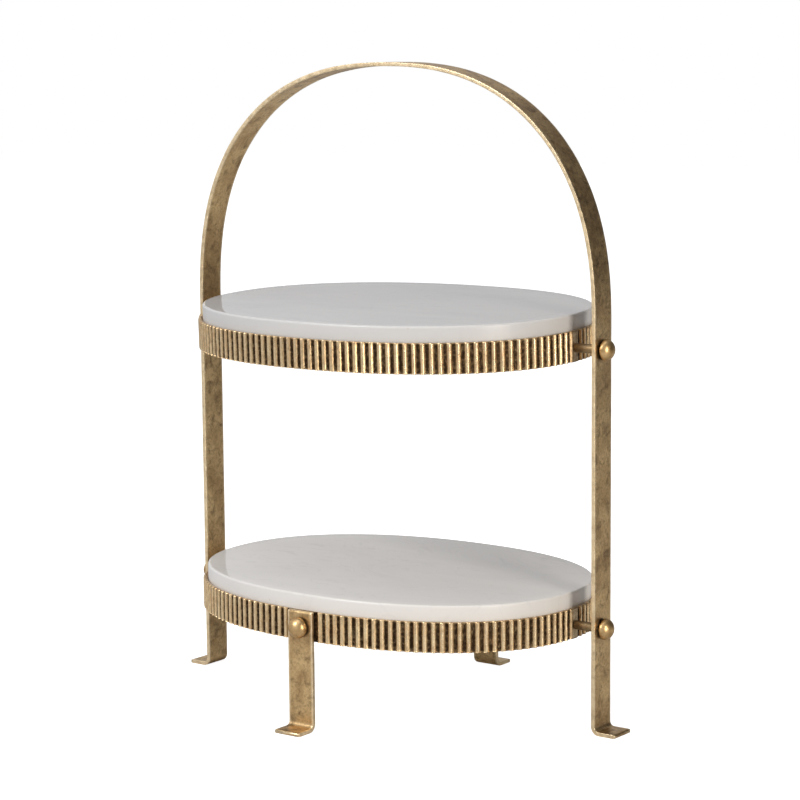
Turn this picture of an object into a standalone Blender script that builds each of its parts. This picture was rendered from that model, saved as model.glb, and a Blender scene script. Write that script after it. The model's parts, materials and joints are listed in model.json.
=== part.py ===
"""Two-tier oval cake stand: marble slabs in ribbed brass bands, carried by a tall brass strap arch.

Metres, +Z up. The origin is on the floor under the middle of the stand. X runs along the ovals and
across the arch, and -Y is the front.
"""
import math

import bmesh
import bpy
from mathutils import Matrix, Vector

# ---- flat strip that the arch and the legs are bent from ----
STRAP_WIDTH = 0.020
STRAP_THICKNESS = 0.0026
STRAP_CHAMFER = 0.0005
BEND_RADIUS = 0.003            # inside radius where a foot turns outward
TOE_REACH = 0.0152             # how far a toe stands out from its leg's outer face

# ---- arch ----
ARCH_HEIGHT = 0.433
ARCH_WIDTH = 0.330             # across the legs' outer faces
ARCH_CROWN_HEIGHT = 0.165      # height of the curved top
ARCH_SQUARENESS = 2.35         # 2 is a true half ellipse, more is squarer

# ---- oval bands ----
BAND_LENGTH = 0.288
BAND_WIDTH = 0.212
BAND_HEIGHT = 0.020
BAND_WALL = 0.0028             # across the ribs
OVAL_SQUARENESS = 2.2
RIB_COUNT = 140
RIB_SHARE = 0.62               # part of each pitch that is rib, the rest is groove
RIB_DEPTH = 0.0014
LIP_HEIGHT = 0.001             # plain edge above and below the grooves
LEG_SLOT = 0.0015              # least plain wall kept on each side of a leg

# ---- heights of the tiers ----
LOWER_BAND_BOTTOM = 0.0599
UPPER_BAND_BOTTOM = 0.2419
UPPER_TIER_LEAN = math.radians(1.8)    # the upper tier hangs on two bolts and leans to the front

# ---- marble slabs and the ledges that carry them ----
SLAB_THICKNESS = 0.0145
SLAB_STANDS_OUT = 0.0103       # above the band
SLAB_SIDE_CLEARANCE = 0.0006
SLAB_EDGE_RADIUS = 0.0015
SLAB_EDGE_STEPS = 3
LEDGE_WIDTH = 0.014
LEDGE_THICKNESS = 0.0018

# ---- fasteners ----
BOLT_HEIGHT_ON_BAND = 0.0092   # above the band's lower edge
BOLT_HEAD_DIAMETER = 0.0138
BOLT_HEAD_HEIGHT = 0.0073
BOLT_HEAD_WIDEST_AT = 0.0018   # the head is a squashed ball, widest at this height above its seat
BOLT_HEAD_SEAT_DIAMETER = 0.0105
BOLT_DIAMETER = 0.004
BOLT_HOLE_CLEARANCE = 0.0003
BOLT_END_LENGTH = 0.0012       # thread left beyond the nut
NUT_ACROSS_FLATS = 0.007
NUT_THICKNESS = 0.0032
SPACER_DIAMETER = 0.006

# ---- fit and fineness ----
SEAT_GAP = 0.0003              # between two pieces that touch
OVAL_STEPS = 72
CROWN_STEPS = 40
BEND_STEPS = 5
ROUND_STEPS = 20
DOME_STEPS = 4                 # rings above the head's widest place, and half as many below

HALF_STRAP = STRAP_WIDTH / 2
HALF_ARCH = ARCH_WIDTH / 2
HALF_LENGTH = BAND_LENGTH / 2
HALF_WIDTH = BAND_WIDTH / 2
BOLT_HOLE_RADIUS = BOLT_DIAMETER / 2 + BOLT_HOLE_CLEARANCE
LEG_INNER_FACE = HALF_WIDTH - RIB_DEPTH + SEAT_GAP
LEG_OUTER_FACE = LEG_INNER_FACE + STRAP_THICKNESS


# ---------------------------------------------------------------- helpers

def clear_scene():
    for old in list(bpy.data.objects):
        bpy.data.objects.remove(old, do_unlink=True)


def material(name, colour, roughness, metallic):
    made = bpy.data.materials.new(name)
    made.use_nodes = True
    shader = made.node_tree.nodes["Principled BSDF"]
    shader.inputs["Base Color"].default_value = (*colour, 1.0)
    shader.inputs["Roughness"].default_value = roughness
    shader.inputs["Metallic"].default_value = metallic
    made.diffuse_color = (*colour, 1.0)
    return made


def brass(name, roughness=0.38, colour=(0.60, 0.45, 0.25)):
    return material(name + "_brass", colour, roughness, 1.0)


def marble(name):
    return material(name + "_marble", (0.82, 0.81, 0.79), 0.12, 0.0)


def finish_mesh(name, bm, surface, smooth_angle=35.0):
    """Turns a bmesh into a named object with outward faces and smooth round stretches."""
    bmesh.ops.recalc_face_normals(bm, faces=bm.faces)
    mesh = bpy.data.meshes.new(name)
    bm.to_mesh(mesh)
    bm.free()
    mesh.materials.append(surface)
    mesh.shade_smooth()
    mesh.set_sharp_from_angle(angle=math.radians(smooth_angle))
    made = bpy.data.objects.new(name, mesh)
    bpy.context.collection.objects.link(made)
    return made


def power_curve(angle, half_x, half_y, squareness):
    """Point of a superellipse: squareness 2 gives an ellipse."""
    cosine, sine = math.cos(angle), math.sin(angle)
    x = half_x * math.copysign(abs(cosine) ** (2 / squareness), cosine)
    y = half_y * math.copysign(abs(sine) ** (2 / squareness), sine)
    return Vector((x, y))


class Oval:
    """The bands' plan outline moved inwards by a distance, with points by length along its edge."""

    FINE_STEPS = 4000

    def __init__(self, inset=0.0):
        outline = [power_curve(2 * math.pi * step / self.FINE_STEPS, HALF_LENGTH, HALF_WIDTH, OVAL_SQUARENESS)
                   for step in range(self.FINE_STEPS)]
        self.lengths = [0.0]
        for here, after in zip(outline, outline[1:] + outline[:1]):
            self.lengths.append(self.lengths[-1] + (after - here).length)
        self.outline = outline
        self.inset = inset

    @property
    def perimeter(self):
        return self.lengths[-1]

    def point(self, distance):
        """Point at a distance along the outer outline from its +X end, moved in by the inset."""
        distance %= self.perimeter
        low, high = 0, self.FINE_STEPS
        while high - low > 1:
            middle = (low + high) // 2
            if self.lengths[middle] <= distance:
                low = middle
            else:
                high = middle
        here = self.outline[low]
        after = self.outline[(low + 1) % self.FINE_STEPS]
        along = after - here
        share = (distance - self.lengths[low]) / along.length
        inward = Vector((-along.y, along.x)).normalized()
        return here + along * share + inward * self.inset

    def even_points(self, count):
        return [self.point(self.perimeter * step / count) for step in range(count)]

    def end_x_within(self, reach):
        """Least X near the +X end over a strip that reaches this far to both sides of the X axis."""
        return min(self.point(reach * step / 8).x for step in range(9))


def ring_of(bm, points, z):
    return [bm.verts.new((point.x, point.y, z)) for point in points]


def join_rings(bm, first, second):
    count = len(first)
    for index in range(count):
        after = (index + 1) % count
        bm.faces.new((first[index], first[after], second[after], second[index]))


def cylinder_along(bm, start, direction, length, radius, steps=ROUND_STEPS):
    """Adds a closed cylinder to a bmesh."""
    turn = Vector((0, 0, 1)).rotation_difference(Vector(direction)).to_matrix().to_4x4()
    middle = Vector(start) + Vector(direction) * (length / 2)
    bmesh.ops.create_cone(bm, cap_ends=True, segments=steps, radius1=radius, radius2=radius, depth=length,
                          matrix=Matrix.Translation(middle) @ turn)


def drill(target, name, start, direction, length, radius=None):
    """Cuts a round hole through an object with a hidden cylinder."""
    bm = bmesh.new()
    cylinder_along(bm, start, direction, length, radius or BOLT_HOLE_RADIUS)
    cutter = finish_mesh(name, bm, target.data.materials[0])
    cutter.hide_render = True
    cutter.display_type = "WIRE"
    cutter.parent = target.parent
    cut = target.modifiers.new(name, "BOOLEAN")
    cut.operation = "DIFFERENCE"
    cut.solver = "EXACT"
    cut.object = cutter


# ---------------------------------------------------------------- strap pieces

def foot_path(outer_face):
    """Middle line of a foot from its toe to the top of its bend, as (outward, height) pairs."""
    middle_radius = BEND_RADIUS + STRAP_THICKNESS / 2
    leg_middle = outer_face - STRAP_THICKNESS / 2
    bend_centre = leg_middle + middle_radius
    path = [(outer_face + TOE_REACH, STRAP_THICKNESS / 2)]
    for step in range(BEND_STEPS + 1):
        angle = math.pi / 2 * step / BEND_STEPS
        path.append((bend_centre - middle_radius * math.sin(angle),
                     STRAP_THICKNESS / 2 + middle_radius * (1 - math.cos(angle))))
    return path


def sweep_strap(bm, path, across):
    """Sweeps the strip's chamfered section along a path of middle points.

    across is the unit direction of the strip's width, at right angles to the path's plane.
    """
    across = Vector(across)
    half_thick = STRAP_THICKNESS / 2
    corners = []
    for side, face in ((1, 1), (-1, 1), (-1, -1), (1, -1)):
        along_width = (side * (HALF_STRAP - STRAP_CHAMFER), face * half_thick)
        along_edge = (side * HALF_STRAP, face * (half_thick - STRAP_CHAMFER))
        corners += [along_edge, along_width] if side * face > 0 else [along_width, along_edge]
    rings = []
    for index, here in enumerate(path):
        before = path[max(index - 1, 0)]
        after = path[min(index + 1, len(path) - 1)]
        inward = (here - before).normalized() if index else (after - here).normalized()
        outward = (after - here).normalized() if index < len(path) - 1 else inward
        along = (inward + outward).normalized()
        normal = across.cross(along)
        stretch = 1 / max(along.dot(outward), 0.5)
        rings.append([bm.verts.new(here + across * width + normal * (thick * stretch))
                      for width, thick in corners])
    for first, second in zip(rings, rings[1:]):
        join_rings(bm, first, second)
    bm.faces.new(rings[0])
    bm.faces.new(list(reversed(rings[-1])))


def arch_strap():
    """One strip: left foot, left leg, crown, right leg, right foot."""
    half_middle = HALF_ARCH - STRAP_THICKNESS / 2
    crown_start = ARCH_HEIGHT - ARCH_CROWN_HEIGHT
    crown_rise = ARCH_CROWN_HEIGHT - STRAP_THICKNESS / 2
    right_leg = [Vector((x, 0, z)) for x, z in foot_path(HALF_ARCH)]
    crown = []
    for step in range(CROWN_STEPS + 1):
        place = power_curve(math.pi * step / CROWN_STEPS, half_middle, crown_rise, ARCH_SQUARENESS)
        crown.append(Vector((place.x, 0, crown_start + place.y)))
    left_leg = [Vector((-point.x, 0, point.z)) for point in reversed(right_leg)]
    bm = bmesh.new()
    sweep_strap(bm, right_leg + crown + left_leg, (0, 1, 0))
    strap = finish_mesh("arch_strap", bm, brass("arch"))
    for tier, band_bottom in (("lower", LOWER_BAND_BOTTOM), ("upper", UPPER_BAND_BOTTOM)):
        for side, sign in (("left", -1), ("right", 1)):
            drill(strap, f"{tier}_{side}_strap_hole",
                  (sign * (HALF_ARCH - 2 * STRAP_THICKNESS), 0, band_bottom + BOLT_HEIGHT_ON_BAND),
                  (sign, 0, 0), 3 * STRAP_THICKNESS)
    return strap


def leg(name, sign):
    """Short leg of the lower tier: sign -1 is the front one, +1 the rear one."""
    path = [Vector((0, sign * y, z)) for y, z in foot_path(LEG_OUTER_FACE)]
    middle = sign * (LEG_OUTER_FACE - STRAP_THICKNESS / 2)
    path.append(Vector((0, middle, LOWER_BAND_BOTTOM + BAND_HEIGHT)))
    bm = bmesh.new()
    sweep_strap(bm, path, (1, 0, 0))
    made = finish_mesh(name, bm, brass(name))
    drill(made, name + "_hole",
          (0, sign * (LEG_INNER_FACE - STRAP_THICKNESS), LOWER_BAND_BOTTOM + BOLT_HEIGHT_ON_BAND),
          (0, sign, 0), 3 * STRAP_THICKNESS)
    return made


# ---------------------------------------------------------------- bands

def groove_spans(perimeter, with_legs):
    """Start and end of every groove along the outline, and whether it runs to the band's edges.

    Ribs are evenly spaced from the +X end, which lies at the middle of a groove. That groove and its
    opposite one are filled, and make the plain pads that the spacers meet. The ribs that a leg would
    cover are left out.
    """
    pitch = perimeter / RIB_COUNT
    half_groove = pitch * (1 - RIB_SHARE) / 2
    leg_reach = HALF_STRAP + LEG_SLOT
    spans = []
    for index in range(RIB_COUNT):
        middle = index * pitch
        if index in (0, RIB_COUNT // 2):
            continue
        spans.append([middle - half_groove, middle + half_groove, False])
    if not with_legs:
        return spans
    for leg_middle in (perimeter / 4, perimeter * 3 / 4):
        low, high = leg_middle - leg_reach, leg_middle + leg_reach
        ribs_after = [span[1] for span in spans if span[1] < low]
        ribs_before = [span[0] for span in spans if span[0] > high]
        # the plain wall ends at the inner edges of the first whole ribs on each side
        start = max(ribs_after) + pitch * RIB_SHARE
        end = min(ribs_before) - pitch * RIB_SHARE
        spans = [span for span in spans if span[1] <= start or span[0] >= end]
        spans.append([start, end, True])
    return sorted(spans)


def band(name, bottom, with_legs):
    """Oval band with upright ribs outside, a plain inner wall and holes for its bolts."""
    face, floor, inner = Oval(), Oval(RIB_DEPTH), Oval(BAND_WALL)
    spans = groove_spans(face.perimeter, with_legs)
    pitch = face.perimeter / RIB_COUNT
    levels = (bottom, bottom + LIP_HEIGHT, bottom + BAND_HEIGHT - LIP_HEIGHT, bottom + BAND_HEIGHT)
    bm = bmesh.new()

    def column(oval, distance):
        point = oval.point(distance)
        return [bm.verts.new((point.x, point.y, z)) for z in levels]

    def ends_of(oval, distance):
        point = oval.point(distance)
        return [bm.verts.new((point.x, point.y, z)) for z in (levels[0], levels[3])]

    def rib_between(left, right):
        bm.faces.new(left + list(reversed(right)))

    grooves = []
    for start, end, full_height in spans:
        left, right = column(face, start), column(face, end)
        inner_column = ends_of(inner, (start + end) / 2)
        if full_height:
            steps = max(2, round((end - start) / pitch))
            floors = [ends_of(floor, start + (end - start) * step / steps) for step in range(steps + 1)]
            bm.faces.new(left + [floors[0][1], floors[0][0]])
            bm.faces.new(right + [floors[-1][1], floors[-1][0]])
            for first, second in zip(floors, floors[1:]):
                bm.faces.new((first[0], first[1], second[1], second[0]))
            for level in (0, 1):
                lip = [left[3 * level]] + [pair[level] for pair in floors] + [right[3 * level]]
                bm.faces.new(lip + [inner_column[level]])
        else:
            left_floor, right_floor = column(floor, start)[1:3], column(floor, end)[1:3]
            bm.faces.new((left[0], left[1], right[1], right[0]))
            bm.faces.new((left[2], left[3], right[3], right[2]))
            bm.faces.new((left[1], left[2], left_floor[1], left_floor[0]))
            bm.faces.new((right[1], right[2], right_floor[1], right_floor[0]))
            bm.faces.new((left_floor[0], left_floor[1], right_floor[1], right_floor[0]))
            for level in (1, 2):
                bm.faces.new((left[level], right[level], right_floor[level - 1], left_floor[level - 1]))
            for level in (0, 1):
                bm.faces.new((left[3 * level], right[3 * level], inner_column[level]))
        grooves.append((left, right, inner_column))
    for index, (_, right, inner_column) in enumerate(grooves):
        left, _, next_inner = grooves[(index + 1) % len(grooves)]
        rib_between(right, left)
        bm.faces.new((inner_column[0], inner_column[1], next_inner[1], next_inner[0]))
        for level in (0, 1):
            bm.faces.new((right[3 * level], left[3 * level], next_inner[level], inner_column[level]))
    loose = [vert for vert in bm.verts if not vert.link_faces]
    bmesh.ops.delete(bm, geom=loose, context="VERTS")
    return finish_mesh(name, bm, brass(name))


def ledge(name, top):
    """Flat oval ring inside a band, on which the slab rests."""
    outer = Oval(BAND_WALL + SEAT_GAP).even_points(OVAL_STEPS)
    inner = Oval(BAND_WALL + SEAT_GAP + LEDGE_WIDTH).even_points(OVAL_STEPS)
    bm = bmesh.new()
    rings = [ring_of(bm, outer, top - LEDGE_THICKNESS), ring_of(bm, outer, top),
             ring_of(bm, inner, top), ring_of(bm, inner, top - LEDGE_THICKNESS)]
    for first, second in zip(rings, rings[1:] + rings[:1]):
        join_rings(bm, first, second)
    return finish_mesh(name, bm, brass(name, 0.5))


def slab(name, bottom):
    """Oval marble slab with its top edge rounded."""
    side = BAND_WALL + SLAB_SIDE_CLEARANCE
    bm = bmesh.new()
    rings = [ring_of(bm, Oval(side).even_points(OVAL_STEPS), bottom)]
    for step in range(SLAB_EDGE_STEPS + 1):
        angle = math.pi / 2 * step / SLAB_EDGE_STEPS
        inset = side + SLAB_EDGE_RADIUS * (1 - math.cos(angle))
        z = bottom + SLAB_THICKNESS - SLAB_EDGE_RADIUS * (1 - math.sin(angle))
        rings.append(ring_of(bm, Oval(inset).even_points(OVAL_STEPS), z))
    for first, second in zip(rings, rings[1:]):
        join_rings(bm, first, second)
    bm.faces.new(rings[0])
    bm.faces.new(rings[-1])
    return finish_mesh(name, bm, marble(name))


# ---------------------------------------------------------------- fasteners

def turned(bm, profile, start, direction):
    """Spins an outline of (radius, distance along the axis) pairs around a line."""
    turn = Vector((0, 0, 1)).rotation_difference(Vector(direction)).to_matrix()
    rings = []
    for radius, along in profile:
        if radius == 0:
            rings.append([bm.verts.new(Vector(start) + turn @ Vector((0, 0, along)))])
            continue
        ring = []
        for step in range(ROUND_STEPS):
            angle = 2 * math.pi * step / ROUND_STEPS
            spot = Vector((radius * math.cos(angle), radius * math.sin(angle), along))
            ring.append(bm.verts.new(Vector(start) + turn @ spot))
        rings.append(ring)
    for first, second in zip(rings, rings[1:]):
        for index in range(ROUND_STEPS):
            after = (index + 1) % ROUND_STEPS
            corners = {first[index % len(first)]: None, first[after % len(first)]: None,
                       second[after % len(second)]: None, second[index % len(second)]: None}
            bm.faces.new(list(corners))


def bolt(name, head_face, direction, shank_length, parent=None):
    """Domed bolt: head_face is the middle of the face under its head, direction points out of the stand."""
    widest, seat = BOLT_HEAD_DIAMETER / 2, BOLT_HEAD_SEAT_DIAMETER / 2
    dome_height = BOLT_HEAD_HEIGHT - BOLT_HEAD_WIDEST_AT
    profile = [(0, -shank_length), (BOLT_DIAMETER / 2, -shank_length), (BOLT_DIAMETER / 2, 0)]
    for step in range(DOME_STEPS // 2):
        angle = math.pi / DOME_STEPS * step
        profile.append((seat + (widest - seat) * math.sin(angle), BOLT_HEAD_WIDEST_AT * (1 - math.cos(angle))))
    for step in range(DOME_STEPS + 1):
        angle = math.pi / 2 * step / DOME_STEPS
        radius = widest * math.cos(angle) if step < DOME_STEPS else 0
        profile.append((radius, BOLT_HEAD_WIDEST_AT + dome_height * math.sin(angle)))
    bm = bmesh.new()
    turned(bm, profile, head_face, direction)
    made = finish_mesh(name, bm, brass(name, 0.25, (0.66, 0.50, 0.29)))
    made.parent = parent
    return made


def nut(name, face, direction, parent=None):
    """Hexagon nut with two level flats: face is the middle of its seat, direction points to its free end."""
    forward = Vector(direction)
    upward = Vector((0, 0, 1))
    sideways = upward.cross(forward)
    corner_radius = NUT_ACROSS_FLATS / math.sqrt(3)
    bm = bmesh.new()
    rings = []
    for along in (0, NUT_THICKNESS):
        middle = Vector(face) + forward * along
        for radius, steps in ((corner_radius, 6), (BOLT_HOLE_RADIUS, 6 * 3)):
            ring = []
            for step in range(steps):
                angle = 2 * math.pi * step / steps
                ring.append(bm.verts.new(middle + (sideways * math.cos(angle) + upward * math.sin(angle)) * radius))
            rings.append(ring)
    near_hex, near_bore, far_hex, far_bore = rings
    join_rings(bm, near_hex, far_hex)
    join_rings(bm, near_bore, far_bore)
    for hexagon, bore in ((near_hex, near_bore), (far_hex, far_bore)):
        for side in range(6):
            arc = [bore[(3 * side + step) % len(bore)] for step in range(4)]
            bm.faces.new([hexagon[side], hexagon[(side + 1) % 6]] + list(reversed(arc)))
    made = finish_mesh(name, bm, brass(name, 0.45))
    made.parent = parent
    return made


def spacer(name, start, direction, length, parent=None):
    """Sleeve over a bolt between the arch and a band."""
    outer, bore = SPACER_DIAMETER / 2, BOLT_HOLE_RADIUS
    bm = bmesh.new()
    turned(bm, [(bore, 0), (outer, 0), (outer, length), (bore, length), (bore, 0)], start, direction)
    bmesh.ops.remove_doubles(bm, verts=bm.verts, dist=SEAT_GAP / 100)
    made = finish_mesh(name, bm, brass(name))
    made.parent = parent
    return made


def arch_fastening(label, sign, bolt_height, parent):
    """Bolt, sleeve and nut that hold one end of a band to one leg of the arch."""
    outward = (sign, 0, 0)
    inward = (-sign, 0, 0)
    head_face = HALF_ARCH + SEAT_GAP
    strap_inner = HALF_ARCH - STRAP_THICKNESS
    band_end = HALF_LENGTH
    nut_corner = NUT_ACROSS_FLATS / math.sqrt(3)
    nut_seat = Oval(BAND_WALL).end_x_within(nut_corner) - SEAT_GAP
    bolt_tip = nut_seat - NUT_THICKNESS - BOLT_END_LENGTH
    bolt(label + "_bolt", (sign * head_face, 0, bolt_height), outward, head_face - bolt_tip, parent)
    spacer(label + "_spacer", (sign * (band_end + SEAT_GAP), 0, bolt_height), outward,
           strap_inner - band_end - 2 * SEAT_GAP, parent)
    nut(label + "_nut", (sign * nut_seat, 0, bolt_height), inward, parent)


def leg_fastening(label, sign):
    """Bolt and nut that hold a short leg to the lower band."""
    height = LOWER_BAND_BOTTOM + BOLT_HEIGHT_ON_BAND
    head_face = LEG_OUTER_FACE + SEAT_GAP
    nut_seat = HALF_WIDTH - BAND_WALL - SEAT_GAP
    bolt_tip = nut_seat - NUT_THICKNESS - BOLT_END_LENGTH
    bolt(label + "_bolt", (0, sign * head_face, height), (0, sign, 0), head_face - bolt_tip)
    nut(label + "_nut", (0, sign * nut_seat, height), (0, -sign, 0))


# ---------------------------------------------------------------- tiers

def tier(label, band_bottom, with_legs, parent=None):
    """Band, ledge, slab and arch fastenings of one tier, in the parent's space when there is one."""
    band_top = band_bottom + BAND_HEIGHT
    slab_bottom = band_top + SLAB_STANDS_OUT - SLAB_THICKNESS
    bolt_height = band_bottom + BOLT_HEIGHT_ON_BAND
    ring = band(label + "_band", band_bottom, with_legs)
    parts = [ring, ledge(label + "_ledge", slab_bottom - SEAT_GAP), slab(label + "_slab", slab_bottom)]
    for made in parts:
        made.parent = parent
    for side, sign in (("left", -1), ("right", 1)):
        arch_fastening(f"{label}_{side}", sign, bolt_height, parent)
        drill(ring, f"{label}_{side}_band_hole", (sign * (HALF_LENGTH - 2 * BAND_WALL), 0, bolt_height),
              (sign, 0, 0), 3 * BAND_WALL)
    if with_legs:
        for side, sign in (("front", -1), ("rear", 1)):
            leg_fastening(side + "_leg", sign)
            drill(ring, f"{side}_band_hole", (0, sign * (HALF_WIDTH - 2 * BAND_WALL), bolt_height),
                  (0, sign, 0), 3 * BAND_WALL)


def leaning_tier_frame():
    """Empty on the upper tier's bolt line, turned so that the tier leans to the front."""
    frame = bpy.data.objects.new("upper_tier_frame", None)
    bpy.context.collection.objects.link(frame)
    frame.location = (0, 0, UPPER_BAND_BOTTOM + BOLT_HEIGHT_ON_BAND)
    frame.rotation_euler = (UPPER_TIER_LEAN, 0, 0)
    return frame


def main():
    clear_scene()
    arch_strap()
    tier("lower", LOWER_BAND_BOTTOM, with_legs=True)
    leg("front_leg", -1)
    leg("rear_leg", 1)
    tier("upper", -BOLT_HEIGHT_ON_BAND, with_legs=False, parent=leaning_tier_frame())


main()
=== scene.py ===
"""Looks of the two-tier oval cake stand: hand-finished brass and polished white marble.

Metres, +Z up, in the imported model's own frame. Every place and every overall size is read from the
frame. The constants below are the section sizes that a bounding box can't tell.
"""

import json
import math
import random

import bmesh
import bpy
from mathutils import Matrix, Vector, noise


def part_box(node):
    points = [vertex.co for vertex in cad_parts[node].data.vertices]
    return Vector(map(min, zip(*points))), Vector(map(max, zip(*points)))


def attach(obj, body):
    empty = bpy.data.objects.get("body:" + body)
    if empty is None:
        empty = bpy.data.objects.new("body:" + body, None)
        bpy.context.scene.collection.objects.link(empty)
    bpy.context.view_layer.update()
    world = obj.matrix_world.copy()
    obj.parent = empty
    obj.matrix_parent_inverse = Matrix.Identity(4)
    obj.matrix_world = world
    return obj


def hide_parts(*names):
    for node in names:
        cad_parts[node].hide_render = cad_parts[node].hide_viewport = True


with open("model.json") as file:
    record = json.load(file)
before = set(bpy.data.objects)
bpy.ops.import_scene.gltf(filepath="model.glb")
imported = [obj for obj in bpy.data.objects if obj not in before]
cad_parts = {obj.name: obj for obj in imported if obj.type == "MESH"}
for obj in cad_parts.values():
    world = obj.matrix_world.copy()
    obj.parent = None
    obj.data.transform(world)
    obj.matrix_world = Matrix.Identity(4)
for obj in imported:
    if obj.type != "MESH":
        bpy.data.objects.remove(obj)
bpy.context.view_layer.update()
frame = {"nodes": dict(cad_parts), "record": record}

# ---- strap ----
BEND_RADIUS = 0.003
CROWN_HEIGHT = 0.165
ARCH_SQUARENESS = 2.35
STRAP_EDGE_RADIUS = 0.0003
STATION_STEP = 0.0016
STRAP_WAVE = 0.00007           # how far a face wanders from flat
EDGE_NICK = 0.00005            # how far an edge is worn in
STRAP_DENT = 0.00003
WAVE_SPAN, DENT_SPAN, NICK_SPAN = 0.022, 0.0042, 0.0035
END_EASE = 0.0008              # length over which a strap's end rounds off
END_CALM = 0.01                # length over which the wave fades in from an end

# ---- bands ----
OVAL_SQUARENESS = 2.2
RIB_COUNT = 140
RIB_SHARE = 0.62
RIB_DEPTH = 0.0014
BAND_WALL = 0.0028
TOP_LIP = 0.0003
BOTTOM_LIP = 0.0003
BOTTOM_CUT = 0.88              # the grooves run almost to both edges
TOP_CUT = 0.80
PAD_SHADE = 0.80              # how dark the plain wall behind a spacer is painted: painted shade
PAD_REACH = 0.72               # half width of that wall, in pitches
LEG_REACH = 2.2                # half width of the plain wall behind a leg, in pitches
CUT_RISE = 0.0006              # height over which a groove changes its depth near an edge
GROOVE_PIT, PIT_SPAN = 0.00010, 0.0011
RIB_WEAR, WEAR_SPAN = 0.00005, 0.0045
RIM_ROUND = 0.0004

# ---- slabs ----
SLAB_SIDE_CLEARANCE = 0.0006
SLAB_EDGE_RADIUS = 0.0015
SLAB_STEPS = 360
SLAB_UNEVEN, UNEVEN_SPAN = 0.00002, 0.06
SIDE_SHADE = 0.83             # painted shade: the sides are painted a little greyer than the top
SATIN_ROUGHNESS = 0.30

# ---- fasteners ----
HEAD_RADIUS = 0.0069
HEAD_HEIGHT = 0.0073
HEAD_WIDEST_AT = 0.0018
HEAD_SEAT_RADIUS = 0.00525
BOLT_RADIUS = 0.002
HOLE_RADIUS = 0.0023
SEAT_GAP = 0.0003
NUT_ACROSS_FLATS = 0.007
SPACER_RADIUS = 0.003
SPACER_EDGE = 0.00025
THREAD_PITCH, THREAD_DEPTH, THREAD_LENGTH = 0.0007, 0.00028, 0.007
HEAD_WEAR, HEAD_WEAR_SPAN = 0.00003, 0.006
HEAD_CREVICE = 0.0026          # height of the painted shade, with some patina, under a head

# ---- camera ----
CAMERA_AZIMUTH = math.radians(36.514)
CAMERA_ELEVATION = math.radians(8.158)
CAMERA_DISTANCE = 1.7486
CAMERA_AIM = Vector((0.00333, 0.0, 0.2061))
CAMERA_ROLL = math.radians(0.494)
CAMERA_LENS = 116.24

# ---- studio ----
FLOOR_GLOW = 0.90              # lifts the floor to white for the camera only
FILL_LOW, FILL_HIGH = 0.10, 0.70
BRIGHT_SIDE = (-60, 12)        # azimuth and elevation that the fill comes from

# ---- what the frame says ----
joints = {joint["name"]: joint for joint in frame["record"]["behaviour"]["joints"]}
lift_axis = joints["upper_slab_lift"]["axis"]
TIER_LEAN = math.atan2(-lift_axis[1], lift_axis[2])


def middle_of(node):
    low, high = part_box(node)
    return (low + high) / 2


def span_near(node, axis, height, reach=0.003):
    """Least and greatest distance from the middle plane of a strap's vertices at one height."""
    found = [abs(vert.co[axis]) for vert in frame["nodes"][node].data.vertices
             if abs(vert.co.z - height) < reach and (axis == 1 or vert.co.x > 0)]
    return min(found), max(found)


ARCH_LOW, ARCH_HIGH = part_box("arch_strap")
BAND_LOW, BAND_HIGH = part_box("lower_band")
BAND_HEIGHT = BAND_HIGH.z - BAND_LOW.z
HALF_LENGTH = BAND_HIGH.x
HALF_WIDTH = BAND_HIGH.y
HALF_STRAP = ARCH_HIGH.y
LOWER_BOLT_Z = middle_of("lower_right_bolt").z
UPPER_BOLT_Z = middle_of("upper_right_bolt").z
ARCH_INNER, HALF_ARCH = span_near("arch_strap", 0, LOWER_BOLT_Z)
LEG_INNER, LEG_OUTER = span_near("front_leg", 1, LOWER_BOLT_Z)
THICKNESS = HALF_ARCH - ARCH_INNER
SLAB_LOW, SLAB_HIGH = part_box("lower_slab")

UPPER_TIER = (Matrix.Translation((0, 0, UPPER_BOLT_Z)) @ Matrix.Rotation(TIER_LEAN, 4, "X")
              @ Matrix.Translation((0, 0, -LOWER_BOLT_Z)))
LEVEL = Matrix.Identity(4)


# ---------------------------------------------------------------- mesh helpers

def made_object(name, bm, surface, body, node, attributes=(), place=LEVEL):
    """Turns a bmesh into a piece that stands for a CAD node."""
    bmesh.ops.transform(bm, matrix=place, verts=bm.verts)
    bmesh.ops.recalc_face_normals(bm, faces=bm.faces)
    mesh = bpy.data.meshes.new(name)
    bm.to_mesh(mesh)
    bm.free()
    for key, values in attributes:
        layer = mesh.attributes.new(key, "FLOAT", "POINT")
        layer.data.foreach_set("value", values)
    mesh.materials.append(surface)
    mesh.shade_smooth()
    made = bpy.data.objects.new(name, mesh)
    bpy.context.collection.objects.link(made)
    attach(made, body)
    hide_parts(node)
    return made


def wander(point, scale, seed):
    """Smooth value between about -1 and 1."""
    return noise.noise(Vector((point[0] / scale + seed, point[1] / scale - seed, point[2] / scale)))


def power_curve(angle, half_x, half_y, squareness):
    cosine, sine = math.cos(angle), math.sin(angle)
    return Vector((half_x * math.copysign(abs(cosine) ** (2 / squareness), cosine),
                   half_y * math.copysign(abs(sine) ** (2 / squareness), sine)))


def kept_inside(bm, low, high):
    """Keeps a worn surface within the box of the CAD piece that it stands for."""
    for vert in bm.verts:
        for axis in range(3):
            vert.co[axis] = min(max(vert.co[axis], low[axis]), high[axis])


def join_loops(bm, first, second):
    count = len(first)
    for index in range(count):
        after = (index + 1) % count
        bm.faces.new((first[index], first[after], second[after], second[index]))


# ---------------------------------------------------------------- strap

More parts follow.
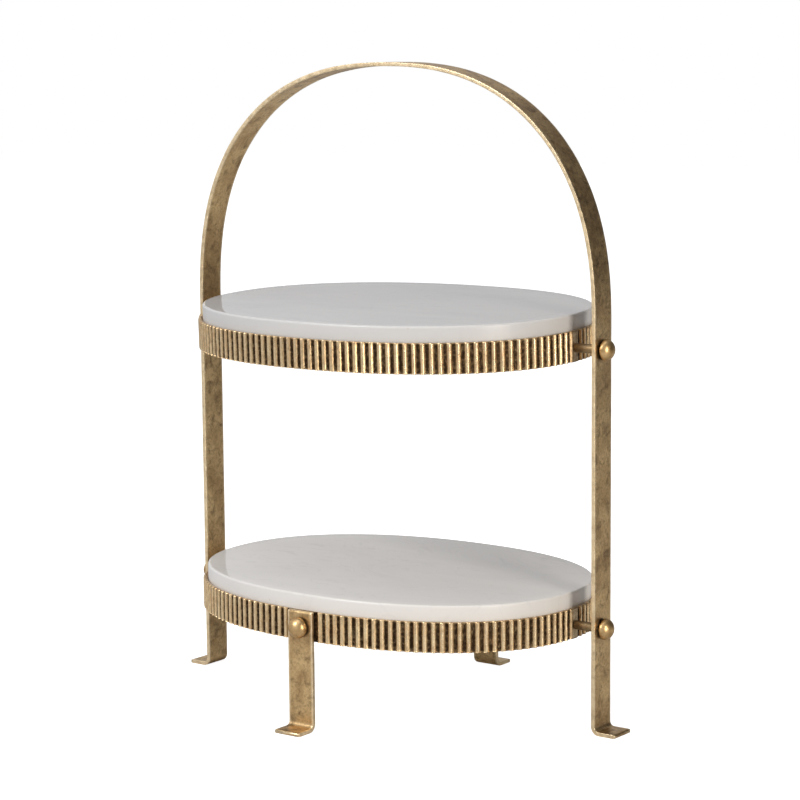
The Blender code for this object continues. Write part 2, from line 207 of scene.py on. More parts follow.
def strap_section():
    """Rounded strip section as (across, through, edge closeness) triples, anticlockwise."""
    radius = STRAP_EDGE_RADIUS
    flat_across, flat_through = HALF_STRAP - radius, THICKNESS / 2 - radius
    points = []
    for corner_x, corner_y, first_angle in ((1, 1, 0), (-1, 1, 90), (-1, -1, 180), (1, -1, 270)):
        for step in range(5):
            angle = math.radians(first_angle + 22.5 * step)
            points.append((corner_x * flat_across + radius * math.cos(angle),
                           corner_y * flat_through + radius * math.sin(angle), 1.0))
        if corner_x == corner_y:
            for step in range(1, 12):
                share = step / 12
                across = corner_x * flat_across * (1 - 2 * share)
                closeness = max(0.0, 1 - (flat_across - abs(across)) / 0.0009)
                points.append((across, corner_y * THICKNESS / 2, closeness * 0.6))
        else:
            for share in (1 / 3, 2 / 3):
                points.append((corner_x * HALF_STRAP, corner_y * flat_through * (1 - 2 * share), 1.0))
    return points


def resampled(points, step):
    """Points at even steps along a path, its ends kept."""
    lengths = [0.0]
    for here, after in zip(points, points[1:]):
        lengths.append(lengths[-1] + (after - here).length)
    count = max(2, round(lengths[-1] / step))
    found, index = [], 0
    for number in range(count + 1):
        wanted = lengths[-1] * number / count
        while index < len(points) - 2 and lengths[index + 1] < wanted:
            index += 1
        share = (wanted - lengths[index]) / (lengths[index + 1] - lengths[index])
        found.append(points[index].lerp(points[index + 1], min(max(share, 0), 1)))
    return found


def foot_points(outer_face, toe_end):
    """Fine middle line of a foot from toe to the top of its bend, as (outward, height) pairs."""
    radius = BEND_RADIUS + THICKNESS / 2
    centre = outer_face - THICKNESS / 2 + radius
    line = [(toe_end, THICKNESS / 2)]
    for step in range(13):
        angle = math.pi / 2 * step / 12
        line.append((centre - radius * math.sin(angle), THICKNESS / 2 + radius * (1 - math.cos(angle))))
    return line


def swept_strap(path, across, seed):
    """Mesh of the worn strip along a path, and how near each vertex is to an edge."""
    section = strap_section()
    bm = bmesh.new()
    rings, edges = [], []
    across = Vector(across)
    last = len(path) - 1
    for index, here in enumerate(path):
        along = (path[min(index + 1, last)] - path[max(index - 1, 0)]).normalized()
        normal = across.cross(along)
        end_distance = min(index, last - index) * STATION_STEP
        end_pull = max(0.0, 1 - end_distance / END_EASE)
        ring = []
        for width, through, edge in section:
            spot = here + across * width + normal * through
            bend = STRAP_WAVE * wander(spot, WAVE_SPAN, seed) * min(1.0, end_distance / END_CALM)
            dent = STRAP_DENT * wander(spot, DENT_SPAN, seed + 7)
            nick = EDGE_NICK * edge * max(0.0, wander(spot, NICK_SPAN, seed + 3) + 0.15)
            pull = (across * math.copysign(1, width) * edge * nick)
            spot += normal * (bend + dent) - pull - normal * math.copysign(nick, through) * 0.7
            spot -= (across * width * 0.02 + normal * through * 0.18) * end_pull
            ring.append(bm.verts.new(spot))
            edges.append(edge)
        rings.append(ring)
    for first, second in zip(rings, rings[1:]):
        join_loops(bm, first, second)
    bm.faces.new(list(reversed(rings[0])))
    bm.faces.new(rings[-1])
    return bm, edges


def arch(surface):
    half_middle = HALF_ARCH - THICKNESS / 2
    crown_start = ARCH_HIGH.z - CROWN_HEIGHT
    rise = CROWN_HEIGHT - THICKNESS / 2
    right = [Vector((x, 0, z)) for x, z in foot_points(HALF_ARCH, ARCH_HIGH.x)]
    crown = [power_curve(math.pi * step / 240, half_middle, rise, ARCH_SQUARENESS) for step in range(241)]
    crown = [Vector((point.x, 0, crown_start + point.y)) for point in crown]
    left = [Vector((-point.x, 0, point.z)) for point in reversed(right)]
    bm, edges = swept_strap(resampled(right + crown + left, STATION_STEP), (0, 1, 0), 11.3)
    kept_inside(bm, ARCH_LOW, ARCH_HIGH)
    return made_object("worn_arch", bm, surface, "stand", "arch_strap",
                       [("edge", edges)])


def short_leg(label, sign, surface):
    low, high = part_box(label)
    toe = max(abs(low.y), abs(high.y))
    path = [Vector((0, sign * y, z)) for y, z in foot_points(LEG_OUTER, toe)]
    path.append(Vector((0, sign * (LEG_OUTER - THICKNESS / 2), high.z)))
    bm, edges = swept_strap(resampled(path, STATION_STEP), (1, 0, 0), 4.1 + sign)
    kept_inside(bm, low, high)
    return made_object("worn_" + label, bm, surface, "stand", label, [("edge", edges)])


# ---------------------------------------------------------------- bands

class Oval:
    """The bands' plan outline with places by length along it from its +X end."""

    FINE_STEPS = 8000

    def __init__(self):
        self.outline = [power_curve(2 * math.pi * step / self.FINE_STEPS, HALF_LENGTH, HALF_WIDTH,
                                    OVAL_SQUARENESS) for step in range(self.FINE_STEPS)]
        self.lengths = [0.0]
        for here, after in zip(self.outline, self.outline[1:] + self.outline[:1]):
            self.lengths.append(self.lengths[-1] + (after - here).length)
        self.perimeter = self.lengths[-1]

    def place(self, distance):
        """Point on the outline and the unit direction inwards."""
        distance %= self.perimeter
        low, high = 0, self.FINE_STEPS
        while high - low > 1:
            middle = (low + high) // 2
            if self.lengths[middle] <= distance:
                low = middle
            else:
                high = middle
        here, after = self.outline[low], self.outline[(low + 1) % self.FINE_STEPS]
        along = after - here
        share = (distance - self.lengths[low]) / along.length
        return here + along * share, Vector((-along.y, along.x)).normalized()


OVAL = Oval()
PITCH = OVAL.perimeter / RIB_COUNT
# half of one pitch from a rib's middle: (share of the pitch, depth as a share of RIB_DEPTH)
RIB_OUTLINE = ((0.0, 0.0), (0.05, 0.03), (0.10, 0.11), (0.15, 0.24), (0.20, 0.41), (0.245, 0.59),
               (0.28, 0.76), (0.31, 0.90), (0.34, 0.98), (0.43, 1.0))


def band_columns(with_legs, seed):
    """(distance along the outline, depth share, tone) of every upright line of a band."""
    draw = random.Random(seed)
    leg_places = (RIB_COUNT / 4, RIB_COUNT * 3 / 4) if with_legs else ()
    reach = (2 + (1 - RIB_SHARE) / 2) if with_legs else 0
    columns = []
    for index in range(RIB_COUNT):
        rib = index + 0.5
        covered = any(abs(rib - leg) < reach for leg in leg_places)
        beside_pad = {0: -1, RIB_COUNT - 1: 1, RIB_COUNT // 2: -1, RIB_COUNT // 2 - 1: 1}.get(index, 0)
        shift = 0 if covered or beside_pad else draw.uniform(-0.022, 0.022)
        swell = 1 + draw.uniform(-0.05, 0.05)
        tone = draw.random()
        outline = [(-share, depth) for share, depth in reversed(RIB_OUTLINE[1:])] + list(RIB_OUTLINE)
        for share, depth in outline:
            if covered:
                depth = 1.0
            elif beside_pad and share * beside_pad > 0:
                depth = 0.0
            wide = share * swell if abs(share) < 0.35 else share
            columns.append(((rib + wide + shift * (1 - abs(share) * 2)) * PITCH, depth, tone))
    return columns


def near_pad(distance):
    """Whether a place lies on the plain wall behind a spacer."""
    turns = (distance / PITCH) % (RIB_COUNT / 2)
    return min(turns, RIB_COUNT / 2 - turns) < PAD_REACH


def band(label, with_legs, place, seed, surface):
    columns = band_columns(with_legs, seed)
    main_rows = 15
    rows = [(0.0, 0.30), (0.00012, 0.10), (0.0003, 0.0)]
    rows += [(BOTTOM_LIP, 0.0), (BOTTOM_LIP + 0.00035, 0.0)]
    top = BAND_HEIGHT - TOP_LIP
    start = BOTTOM_LIP + 1.5 * CUT_RISE
    main_height = top - 1.5 * CUT_RISE - start
    rows += [(start + main_height * step / main_rows, 0.0) for step in range(main_rows + 1)]
    rows += [(top - 0.0003, 0.0), (top, 0.0), (BAND_HEIGHT - 0.0003, 0.0),
             (BAND_HEIGHT - 0.00012, 0.10), (BAND_HEIGHT, 0.30)]
    bm = bmesh.new()
    grooves, tones, edges = [], [], []
    loops = []
    for height, edge_round in rows:
        loop = []
        if height <= BOTTOM_LIP:
            cut = BOTTOM_CUT
        elif height < start:
            cut = BOTTOM_CUT + (1 - BOTTOM_CUT) * (height - BOTTOM_LIP) / (start - BOTTOM_LIP)
        elif height > top - CUT_RISE:
            cut = max(TOP_CUT, 1 - (1 - TOP_CUT) * (height - top + CUT_RISE) / CUT_RISE)
        else:
            cut = 1.0
        for distance, depth, tone in columns:
            point, inward = OVAL.place(distance)
            leg_zone = with_legs and min(abs(distance / PITCH - RIB_COUNT / 4),
                                         abs(distance / PITCH - RIB_COUNT * 3 / 4)) < LEG_REACH
            here_cut = 1.0 if leg_zone else cut
            spot = (point.x, point.y, height)
            pit = max(0.0, wander(spot, PIT_SPAN, seed)) * GROOVE_PIT * depth * here_cut
            wear = RIB_WEAR * (1 + wander(spot, WEAR_SPAN, seed + 5)) * (1 - depth)
            inset = RIB_DEPTH * depth * here_cut - pit + wear + RIM_ROUND * edge_round
            moved = point + inward * inset
            loop.append(bm.verts.new((moved.x, moved.y, BAND_LOW.z + height)))
            # Painted shade: the plain walls behind the legs and behind the spacers get groove values of 0.8
            # to 1 and are painted dark like groove floors.
            grooves.append(PAD_SHADE if near_pad(distance) else depth * here_cut)
            tones.append(tone)
            # Rib crowns get 0.7, so they are painted worn bright, partly a painted highlight.
            edges.append(0.7 if depth < 0.3 and not edge_round else 0.0)
        loops.append(loop)
    inner_loops = []
    for height in (BAND_HEIGHT, BAND_HEIGHT - 0.0004, 0.0004, 0.0):
        loop = []
        lip = 0.0003 if height in (0.0, BAND_HEIGHT) else 0.0
        for distance, _, tone in columns:
            point, inward = OVAL.place(distance)
            moved = point + inward * (BAND_WALL - lip)
            loop.append(bm.verts.new((moved.x, moved.y, BAND_LOW.z + height)))
            # The inner wall gets 0.35, which the rib material darkens a little as painted shade.
            grooves.append(0.35)
            tones.append(tone)
            edges.append(0.0)
        inner_loops.append(loop)
    every = loops + inner_loops
    for first, second in zip(every, every[1:] + every[:1]):
        join_loops(bm, first, second)
    return made_object("ribbed_" + label, bm, surface, "stand", label,
                       [("groove", grooves), ("tone", tones), ("edge", edges)], place)


# ---------------------------------------------------------------- slabs

def slab(label, place, body, seed, surface):
    """Polished slab with an eased edge, very slightly uneven as hand-ground stone is."""
    side = BAND_WALL + SLAB_SIDE_CLEARANCE
    height = SLAB_HIGH.z - SLAB_LOW.z
    radius = SLAB_EDGE_RADIUS
    profile = [(side + 0.0006, 0.0), (side + 0.0002, 0.0002), (side, 0.0006)]
    profile += [(side, height * share) for share in (0.25, 0.5, 0.75)]
    # 1 on the sides, easing to 0 over the rounded edge: makes the sides rougher and paints them greyer as
    # painted shade.
    satin_and_side_shade = [1.0] * len(profile)
    for step in range(9):
        angle = math.pi / 2 * step / 8
        profile.append((side + radius * (1 - math.cos(angle)), height - radius * (1 - math.sin(angle))))
        satin_and_side_shade.append(math.cos(angle))
    bm = bmesh.new()
    loops = []
    for inset, z in profile:
        loop = []
        for step in range(SLAB_STEPS):
            point, inward = OVAL.place(OVAL.perimeter * step / SLAB_STEPS)
            uneven = SLAB_UNEVEN * (1 + wander((point.x, point.y, z), UNEVEN_SPAN, seed))
            moved = point + inward * (inset + uneven)
            loop.append(bm.verts.new((moved.x, moved.y, SLAB_LOW.z + z)))
        loops.append(loop)
    middle_shares = (0.93, 0.8, 0.55, 0.28)
    satin_and_side_shade += [0.0] * len(middle_shares)
    for share in middle_shares:
        loops.append([bm.verts.new((vert.co.x * share, vert.co.y * share, SLAB_LOW.z + height))
                      for vert in loops[len(profile) - 1]])
    for first, second in zip(loops, loops[1:]):
        join_loops(bm, first, second)
    bm.faces.new(loops[0])
    bm.faces.new(loops[-1])
    return made_object("polished_" + label, bm, surface, body, label,
                       [("satin_and_side_shade", [value for value in satin_and_side_shade for _ in range(SLAB_STEPS)])], place)


# ---------------------------------------------------------------- fasteners

def spun(bm, profile, start, direction, steps=48):
    """Spins (radius, distance) pairs round a line. A radius of 0 closes an end."""
    turn = Vector((0, 0, 1)).rotation_difference(Vector(direction)).to_matrix()
    rings = []
    for radius, along in profile:
        count = steps if radius else 1
        rings.append([bm.verts.new(Vector(start) + turn @ Vector((
            radius * math.cos(2 * math.pi * step / steps), radius * math.sin(2 * math.pi * step / steps),
            along))) for step in range(count)])
    for first, second in zip(rings, rings[1:]):
        for index in range(steps):
            after = (index + 1) % steps
            corners = dict.fromkeys((first[index % len(first)], first[after % len(first)],
                                     second[after % len(second)], second[index % len(second)]))
            bm.faces.new(list(corners))


def bolt(label, seat, direction, inner_end, place, seed, surface):
    """Hand-turned ball-headed bolt with a threaded shank."""
    shank = abs(Vector(direction).dot(Vector(seat))) - inner_end
    profile = [(0, -shank), (BOLT_RADIUS - 0.0004, -shank), (BOLT_RADIUS - 0.00005, -shank + 0.0004)]
    turns = int(THREAD_LENGTH / THREAD_PITCH)
    for turn in range(turns):
        base = -shank + 0.0005 + turn * THREAD_PITCH
        profile += [(BOLT_RADIUS, base), (BOLT_RADIUS - THREAD_DEPTH, base + THREAD_PITCH / 2)]
    profile += [(BOLT_RADIUS, -shank + 0.0005 + turns * THREAD_PITCH), (BOLT_RADIUS, 0.0)]
    for step in range(9):
        angle = math.pi / 2 * step / 8
        profile.append((HEAD_SEAT_RADIUS + (HEAD_RADIUS - HEAD_SEAT_RADIUS) * math.sin(angle),
                        HEAD_WIDEST_AT * (1 - math.cos(angle))))
    for step in range(1, 17):
        angle = math.pi / 2 * step / 16
        radius = HEAD_RADIUS * math.cos(angle) if step < 16 else 0
        profile.append((radius, HEAD_WIDEST_AT + (HEAD_HEIGHT - HEAD_WIDEST_AT) * math.sin(angle)))
    bm = bmesh.new()
    spun(bm, profile, seat, direction)
    outward = Vector(direction)
    # Nearness to the seat, which the head material paints dark as painted shade with some patina.
    under_head_shade = []
    for vert in bm.verts:
        above = (vert.co - Vector(seat)).dot(outward)
        if above > 0.0008:
            vert.co -= outward * HEAD_WEAR * (1 + wander(vert.co, HEAD_WEAR_SPAN, seed))
        under_head_shade.append(max(0.0, 1 - above / HEAD_CREVICE))
    return made_object("ball_" + label, bm, surface, "stand", label,
                       [("groove", under_head_shade)], place)


def spacer(label, start, direction, length, place, surface):
    outer, eased = SPACER_RADIUS, SPACER_RADIUS - SPACER_EDGE
    profile = [(HOLE_RADIUS, 0), (eased, 0), (outer, SPACER_EDGE), (outer, length / 2),
               (outer, length - SPACER_EDGE), (eased, length), (HOLE_RADIUS, length), (HOLE_RADIUS, 0)]
    bm = bmesh.new()
    spun(bm, profile, start, direction, 40)
    bmesh.ops.remove_doubles(bm, verts=bm.verts, dist=SEAT_GAP / 100)
    return made_object("sleeve_" + label, bm, surface, "stand", label, (), place)


def nut(label, seat, direction, length, place, surface):
    """Hexagon nut with its corners turned off at both ends and a bored middle."""
    forward, upward = Vector(direction), Vector((0, 0, 1))
    sideways = upward.cross(forward)
    corner = NUT_ACROSS_FLATS / math.sqrt(3)
    steps = 48
    bm = bmesh.new()

    def ring(along, shape):
        made = []
        for step in range(steps):
            angle = 2 * math.pi * step / steps
            local = (angle + math.pi / 6) % (math.pi / 3) - math.pi / 6
            hexagon = corner * math.cos(math.pi / 6) / math.cos(local - math.copysign(math.pi / 6, local))
            radius = shape(hexagon)
            made.append(bm.verts.new(Vector(seat) + forward * along
                                     + (sideways * math.cos(angle) + upward * math.sin(angle)) * radius))
        return made

    flat = NUT_ACROSS_FLATS / 2
    rings = [ring(0, lambda _: HOLE_RADIUS), ring(0, lambda h: min(h, flat) - 0.0001),
             ring(0.0004, lambda h: h), ring(length - 0.0004, lambda h: h),
             ring(length, lambda h: min(h, flat) - 0.0001), ring(length, lambda _: HOLE_RADIUS)]
    for first, second in zip(rings, rings[1:] + rings[:1]):
        join_loops(bm, first, second)
    made = made_object("hex_" + label, bm, surface, "stand", label, (), place)
    made.data.set_sharp_from_angle(angle=math.radians(28))
    return made


# ---------------------------------------------------------------- materials

class Nodes:
    """Short way to write a material's nodes."""

    def __init__(self, name):
        self.material = bpy.data.materials.new(name)
        self.material.use_nodes = True
        self.tree = self.material.node_tree
        self.shader = self.tree.nodes["Principled BSDF"]
        coordinates = self.tree.nodes.new("ShaderNodeTexCoord")
        self.place = coordinates.outputs["Object"]

    def link(self, source, socket):
        if isinstance(source, (int, float)):
            socket.default_value = source
        elif isinstance(source, tuple):
            socket.default_value = (*source, 1.0)
        else:
            self.tree.links.new(source, socket)

    def stretched(self, scale):
        made = self.tree.nodes.new("ShaderNodeMapping")
        self.link(self.place, made.inputs["Vector"])
        made.inputs["Scale"].default_value = scale
        return made.outputs["Vector"]

    def noise(self, scale, detail=3.0, rough=0.55, distortion=0.0, place=None):
        made = self.tree.nodes.new("ShaderNodeTexNoise")
        self.link(place or self.place, made.inputs["Vector"])
        made.inputs["Scale"].default_value = scale
        made.inputs["Detail"].default_value = detail
        made.inputs["Roughness"].default_value = rough
        made.inputs["Distortion"].default_value = distortion
        return made.outputs["Fac"]

    def cells(self, scale):
        made = self.tree.nodes.new("ShaderNodeTexVoronoi")
        self.link(self.place, made.inputs["Vector"])
        made.inputs["Scale"].default_value = scale
        return made.outputs["Distance"]

    def ranged(self, value, low, high, to_low=0.0, to_high=1.0):
        made = self.tree.nodes.new("ShaderNodeMapRange")
        self.link(value, made.inputs["Value"])
        for key, amount in (("From Min", low), ("From Max", high), ("To Min", to_low), ("To Max", to_high)):
            made.inputs[key].default_value = amount
        return made.outputs["Result"]

    def maths(self, operation, first, second):
        made = self.tree.nodes.new("ShaderNodeMath")
        made.operation = operation
        self.link(first, made.inputs[0])
        self.link(second, made.inputs[1])
        return made.outputs[0]

    def mix(self, factor, first, second):
        made = self.tree.nodes.new("ShaderNodeMix")
        made.data_type = "RGBA"
        self.link(factor, made.inputs["Factor"])
        self.link(first, made.inputs["A"])
        self.link(second, made.inputs["B"])
        return made.outputs["Result"]

    def attribute(self, key):
        made = self.tree.nodes.new("ShaderNodeAttribute")
        made.attribute_name = key
        return made.outputs["Fac"]

    def bump(self, height, strength, distance):
        made = self.tree.nodes.new("ShaderNodeBump")
        made.inputs["Strength"].default_value = strength
        made.inputs["Distance"].default_value = distance
        self.link(height, made.inputs["Height"])
        self.link(made.outputs["Normal"], self.shader.inputs["Normal"])

    def finish(self, colour, roughness, metallic=1.0):
        self.link(colour, self.shader.inputs["Base Color"])
        self.link(roughness, self.shader.inputs["Roughness"])
        self.link(metallic, self.shader.inputs["Metallic"])
        return self.material


BRIGHT = (0.97, 0.79, 0.52)
BROWN = (0.21, 0.13, 0.063)
DARK = (0.035, 0.020, 0.010)


def strap_brass():
    """Sanded and aged strip: brown-gold faces with dark stains and fine specks, edges worn bright and partly
    a painted highlight.
    """
    kit = Nodes("antique_strap_brass")
    blotch = kit.ranged(kit.noise(42, 4, 0.6, 0.4), 0.38, 0.64)
    stain = kit.ranged(kit.noise(130, 5, 0.68, 0.5), 0.50, 0.70)
    speck = kit.ranged(kit.noise(620, 4, 0.7), 0.46, 0.66)
    grain = kit.ranged(kit.noise(1700, 3, 0.7), 0.45, 0.62)
    face = kit.mix(blotch, (0.55, 0.365, 0.175), (0.86, 0.62, 0.315))
    face = kit.mix(kit.maths("MULTIPLY", stain, 0.85), face, BROWN)
    face = kit.mix(kit.maths("MULTIPLY", speck, 0.42), face, (0.20, 0.12, 0.06))
    face = kit.mix(kit.maths("MULTIPLY", grain, 0.08), face, DARK)
    # Edges worn bright, partly a painted highlight.
    worn = kit.ranged(kit.noise(230, 4), 0.36, 0.60, 0.55, 0.95)
    worn_edge_highlight = kit.maths("MULTIPLY", kit.attribute("edge"), worn)
    colour = kit.mix(worn_edge_highlight, face, BRIGHT)
    rough = kit.ranged(kit.noise(300, 4), 0.3, 0.7, 0.26, 0.48)
    kit.bump(kit.maths("ADD", kit.noise(330, 4, 0.65), kit.maths("MULTIPLY", kit.noise(1500, 2), 0.3)),
             0.30, 0.0002)
    return kit.finish(colour, rough)


def rib_brass():
    """Filed ribs with worn-bright crowns, partly a painted highlight, flanks painted browner as shade, and
    pitted grooves dark with patina and painted shade.
    """
    kit = Nodes("ribbed_band_brass")
    groove = kit.attribute("groove")
    tall = kit.stretched((1.0, 1.0, 0.35))
    blotch = kit.ranged(kit.noise(95, 3), 0.36, 0.64)
    streak = kit.ranged(kit.noise(650, 4, 0.65, place=tall), 0.42, 0.62)
    face = kit.mix(blotch, (0.92, 0.63, 0.345), (1.0, 0.78, 0.46))
    face = kit.mix(kit.maths("MULTIPLY", streak, 0.42), face, BROWN)
    face = kit.mix(kit.maths("MULTIPLY", kit.attribute("tone"), 0.15), face, (0.56, 0.38, 0.20))
    # Groove floors: dark patina with lighter pits, deepened with painted shade.
    pits = kit.ranged(kit.noise(620, 4, 0.7), 0.55, 0.75, 0.0, 0.45)
    floor = kit.mix(pits, DARK, (0.30, 0.20, 0.11))
    ragged = kit.maths("ADD", groove, kit.ranged(kit.noise(480, 4, 0.7), 0.3, 0.7, -0.12, 0.12))
    sunk = kit.ranged(ragged, 0.58, 1.00)
    # Painted shade: the flanks are painted browner the deeper they lie.
    flank_shade = kit.ranged(groove, 0.08, 0.55, 0.0, 0.35)
    face = kit.mix(flank_shade, face, (0.42, 0.27, 0.13))
    colour = kit.mix(sunk, face, floor)
    # Crowns worn bright, partly a painted highlight.
    worn = kit.ranged(kit.noise(300, 3), 0.36, 0.60, 0.1, 0.75)
    worn_edge_highlight = kit.maths("MULTIPLY", kit.attribute("edge"), worn)
    colour = kit.mix(worn_edge_highlight, colour, BRIGHT)
    rough = kit.maths("ADD", kit.ranged(kit.noise(500, 3), 0.3, 0.7, 0.24, 0.36),
                      kit.maths("MULTIPLY", sunk, 0.3))
    kit.bump(kit.noise(700, 4, 0.65, place=tall), 0.22, 0.00015)
    return kit.finish(colour, rough)


def ball_brass():
    """Satin heads, painted dark close above their seat as painted shade with some patina."""
    kit = Nodes("polished_head_brass")
    patch = kit.ranged(kit.noise(210, 3), 0.38, 0.68)
    face = kit.mix(patch, (0.70, 0.48, 0.235), (0.46, 0.29, 0.125))
    ragged = kit.ranged(kit.noise(700, 3), 0.3, 0.7, -0.15, 0.15)
    # Painted shade with some patina: the head is painted dark close above its seat.
    crevice_shade = kit.ranged(kit.maths("ADD", kit.attribute("groove"), ragged), 0.30, 0.70)
    colour = kit.mix(crevice_shade, face, DARK)
    rough = kit.ranged(kit.noise(480, 3), 0.3, 0.7, 0.32, 0.42)
    kit.bump(kit.noise(420, 3), 0.10, 0.0001)
    return kit.finish(colour, rough)


def dull_brass():
    """Unpolished brass of the ledges, nuts and spacers."""
    kit = Nodes("dull_inner_brass")
    stain = kit.ranged(kit.noise(60, 4), 0.35, 0.68)
    mottle = kit.ranged(kit.noise(480, 4, 0.7), 0.42, 0.62)
    face = kit.mix(stain, (0.42, 0.30, 0.16), (0.22, 0.15, 0.08))
    colour = kit.mix(kit.maths("MULTIPLY", mottle, 0.5), face, BROWN)
    rough = kit.ranged(kit.noise(300, 3), 0.3, 0.7, 0.42, 0.62)
    kit.bump(kit.noise(650, 4, 0.7), 0.4, 0.0002)
    return kit.finish(colour, rough)


def white_marble(name, vein_offset, tone):
    """Polished white stone with faint grey clouds, thin soft veins and a few tan specks."""
    kit = Nodes(name)
    move = kit.tree.nodes.new("ShaderNodeMapping")
    kit.link(kit.place, move.inputs["Vector"])
    move.inputs["Location"].default_value = vein_offset
    move.inputs["Rotation"].default_value = (0.1, 0.2, 0.55)
    move.inputs["Scale"].default_value = (1.0, 2.1, 1.0)
    there = move.outputs["Vector"]
    cloud = kit.ranged(kit.noise(9, 5, 0.6, 0.6, there), 0.40, 0.72)
    streak = kit.ranged(kit.noise(34, 6, 0.62, 0.8, there), 0.60, 0.78)
    line = kit.maths("ABSOLUTE", kit.maths("SUBTRACT", kit.noise(13, 5, 0.55, 1.1, there), 0.5), 0.0)
    vein = kit.ranged(line, 0.0, 0.012, 0.5, 0.0)
    colour = kit.mix(cloud, tone, tuple(part * 0.94 for part in tone))
    satin_and_side_shade = kit.attribute("satin_and_side_shade")
    # Painted shade: the sides and rounded edge are painted greyer than the top.
    colour = kit.mix(satin_and_side_shade, colour, tuple(part * SIDE_SHADE for part in tone))
    colour = kit.mix(kit.maths("MULTIPLY", streak, 0.30), colour, (0.50, 0.50, 0.51))
    colour = kit.mix(kit.maths("MULTIPLY", vein, 0.30), colour, (0.52, 0.52, 0.54))
    crystals = kit.ranged(kit.noise(1100, 2), 0.3, 0.7, 0.0, 0.05)
    colour = kit.mix(crystals, colour, (0.6, 0.6, 0.6))
    speck = kit.ranged(kit.cells(150), 0.06, 0.11, 1.0, 0.0)
    here_and_there = kit.ranged(kit.noise(40, 2), 0.60, 0.66)
    colour = kit.mix(kit.maths("MULTIPLY", kit.maths("MULTIPLY", speck, here_and_there), 0.35), colour,
                     (0.55, 0.42, 0.27))
    rough = kit.maths("ADD", kit.ranged(kit.noise(60, 4), 0.3, 0.7, 0.03, 0.07),
                      kit.maths("MULTIPLY", satin_and_side_shade, SATIN_ROUGHNESS))
    kit.shader.inputs["IOR"].default_value = 1.5
    kit.shader.inputs["Subsurface Weight"].default_value = 0.06
    kit.shader.inputs["Subsurface Radius"].default_value = (0.004, 0.004, 0.0035)
    kit.shader.inputs["Subsurface Scale"].default_value = 1.0
    kit.bump(kit.noise(25, 2), 0.006, 0.0003)
    return kit.finish(colour, rough, 0.0)


# ---------------------------------------------------------------- the stand

antique = strap_brass()
ribbed = rib_brass()
ball = ball_brass()
dull = dull_brass()

arch(antique)
short_leg("front_leg", -1, antique)
short_leg("rear_leg", 1, antique)
band("lower_band", True, LEVEL, 3, ribbed)
band("upper_band", False, UPPER_TIER, 8, ribbed)
# Both slabs are the same white stone: the lower one is painted lighter and the upper one darker, painted
# light and shade for each tier.
slab("lower_slab", LEVEL, "lower_slab_body", 2.0,
     white_marble("lower_marble", (0.0, 0.0, 0.0), (0.87, 0.85, 0.82)))
slab("upper_slab", UPPER_TIER, "upper_slab_body", 6.0,
     white_marble("upper_marble", (1.3, 0.7, 0.4), (0.70, 0.695, 0.688)))

spacer_low, spacer_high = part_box("lower_right_spacer")
nut_low, nut_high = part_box("lower_right_nut")
leg_nut_low, leg_nut_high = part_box("front_leg_nut")
bolt_low, bolt_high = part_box("lower_right_bolt")
leg_bolt_low, leg_bolt_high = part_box("front_leg_bolt")

for tier, place in (("lower", LEVEL), ("upper", UPPER_TIER)):
    for side, sign in (("left", -1), ("right", 1)):
        head = f"{tier}_{side}_"
        bolt(head + "bolt", (sign * (bolt_high.x - HEAD_HEIGHT), 0, LOWER_BOLT_Z), (sign, 0, 0), bolt_low.x,
             place, sign + (5 if tier == "upper" else 2), ball)
        spacer(head + "spacer", (sign * spacer_low.x, 0, LOWER_BOLT_Z), (sign, 0, 0),
               spacer_high.x - spacer_low.x, place, dull)
        nut(head + "nut", (sign * nut_high.x, 0, LOWER_BOLT_Z), (-sign, 0, 0), nut_high.x - nut_low.x,
            place, dull)
for label, sign in (("front_leg", -1), ("rear_leg", 1)):
    bolt(label + "_bolt", (0, sign * (-leg_bolt_low.y - HEAD_HEIGHT), LOWER_BOLT_Z), (0, sign, 0),
         -leg_bolt_high.y, LEVEL, sign + 9, ball)
    nut(label + "_nut", (0, sign * -leg_nut_low.y, LOWER_BOLT_Z), (0, -sign, 0),
        leg_nut_high.y - leg_nut_low.y, LEVEL, dull)
for label in ("lower_ledge", "upper_ledge"):
    slots = frame["nodes"][label].material_slots
    for number in range(len(slots)):
        slots[number].material = dull


# ---------------------------------------------------------------- floor, light, camera

def floor():
    bm = bmesh.new()
    bmesh.ops.create_grid(bm, x_segments=2, y_segments=2, size=6.0)
    mesh = bpy.data.meshes.new("floor")
    bm.to_mesh(mesh)
    bm.free()
    kit = Nodes("pale_floor")
    tone = kit.ranged(kit.noise(3, 2), 0.3, 0.7, 0.0, 1.0)
    kit.finish(kit.mix(tone, (0.62, 0.62, 0.62), (0.65, 0.65, 0.65)), 0.9, 0.0)
    glow = kit.tree.nodes.new("ShaderNodeLightPath")
    kit.shader.inputs["Emission Color"].default_value = (1, 1, 1, 1)
    kit.link(kit.maths("MULTIPLY", glow.outputs["Is Camera Ray"], FLOOR_GLOW),
             kit.shader.inputs["Emission Strength"])
    mesh.materials.append(kit.material)
    made = bpy.data.objects.new("floor", mesh)
    bpy.context.collection.objects.link(made)


def softbox(name, azimuth, elevation, distance, width, height, power, colour):
    """Soft light that faces the middle of the stand. Azimuth 0 is in front of it."""
    aim = Vector((0, 0, (ARCH_LOW.z + ARCH_HIGH.z) / 2))
    turn, rise = math.radians(azimuth), math.radians(elevation)
    back = Vector((math.sin(turn) * math.cos(rise), -math.cos(turn) * math.cos(rise), math.sin(rise)))
    lamp = bpy.data.lights.new(name, "AREA")
    lamp.shape = "RECTANGLE"
    lamp.size, lamp.size_y = width, height
    lamp.energy = power
    lamp.color = colour
    made = bpy.data.objects.new(name, lamp)
    made.location = aim + back * distance
    made.rotation_mode = "QUATERNION"
    made.rotation_quaternion = back.to_track_quat("Z", "Y")
    bpy.context.collection.objects.link(made)


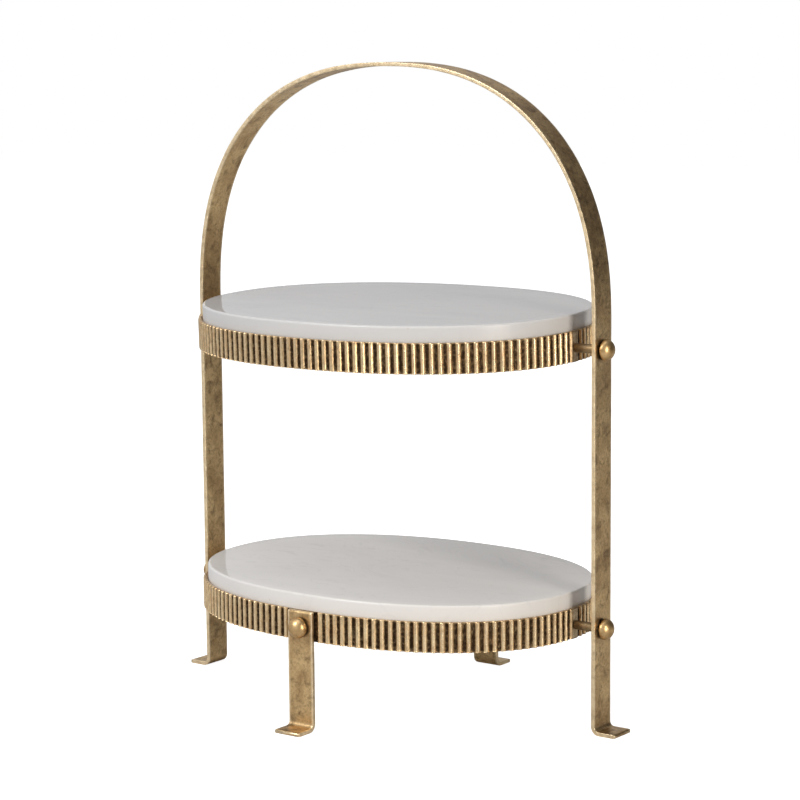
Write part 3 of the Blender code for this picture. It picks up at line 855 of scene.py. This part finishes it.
def surroundings():
    """White backdrop for the camera. Reflections and fill see a grey studio, brighter on one side."""
    world = bpy.data.worlds.new("studio")
    world.use_nodes = True
    tree = world.node_tree
    tree.nodes.clear()
    seen = tree.nodes.new("ShaderNodeBackground")
    seen.inputs["Color"].default_value = (1, 1, 1, 1)
    seen.inputs["Strength"].default_value = 1.0
    turn, rise = (math.radians(angle) for angle in BRIGHT_SIDE)
    towards = tree.nodes.new("ShaderNodeVectorMath")
    towards.operation = "DOT_PRODUCT"
    towards.inputs[1].default_value = (math.sin(turn) * math.cos(rise), -math.cos(turn) * math.cos(rise),
                                       math.sin(rise))
    direction = tree.nodes.new("ShaderNodeTexCoord")
    tree.links.new(direction.outputs["Generated"], towards.inputs[0])
    level = tree.nodes.new("ShaderNodeMapRange")
    level.interpolation_type = "SMOOTHSTEP"
    tree.links.new(towards.outputs["Value"], level.inputs["Value"])
    for key, amount in (("From Min", -0.75), ("From Max", 0.75), ("To Min", FILL_LOW), ("To Max", FILL_HIGH)):
        level.inputs[key].default_value = amount
    fill = tree.nodes.new("ShaderNodeBackground")
    fill.inputs["Color"].default_value = (0.98, 0.98, 1.0, 1)
    tree.links.new(level.outputs["Result"], fill.inputs["Strength"])
    path = tree.nodes.new("ShaderNodeLightPath")
    both = tree.nodes.new("ShaderNodeMixShader")
    out = tree.nodes.new("ShaderNodeOutputWorld")
    tree.links.new(path.outputs["Is Camera Ray"], both.inputs[0])
    tree.links.new(fill.outputs[0], both.inputs[1])
    tree.links.new(seen.outputs[0], both.inputs[2])
    tree.links.new(both.outputs[0], out.inputs["Surface"])
    bpy.context.scene.world = world


def camera():
    back = Vector((math.sin(CAMERA_AZIMUTH) * math.cos(CAMERA_ELEVATION),
                   -math.cos(CAMERA_AZIMUTH) * math.cos(CAMERA_ELEVATION), math.sin(CAMERA_ELEVATION)))
    lens = bpy.data.cameras.new("camera")
    lens.lens = CAMERA_LENS
    lens.sensor_width = 36
    lens.clip_start, lens.clip_end = 0.01, 50
    made = bpy.data.objects.new("camera", lens)
    right = Vector((math.cos(CAMERA_AZIMUTH), math.sin(CAMERA_AZIMUTH), 0))
    up = back.cross(right)
    cosine, sine = math.cos(CAMERA_ROLL), math.sin(CAMERA_ROLL)
    right, up = right * cosine - up * sine, up * cosine + right * sine
    turn = Matrix((right, up, back)).transposed()
    made.matrix_world = Matrix.Translation(CAMERA_AIM + back * CAMERA_DISTANCE) @ turn.to_4x4()
    bpy.context.collection.objects.link(made)
    bpy.context.scene.camera = made


floor()
surroundings()
softbox("left_softbox", -22, 32, 1.7, 0.52, 0.75, 11, (1.0, 0.99, 0.99))
softbox("right_softbox", 68, 9.5, 1.9, 0.42, 1.0, 19, (1.0, 0.93, 0.84))
softbox("top_softbox", -10, 80, 1.6, 1.2, 1.2, 4.5, (1.0, 1.0, 1.0))
camera()
bpy.context.scene.view_settings.view_transform = "Standard"
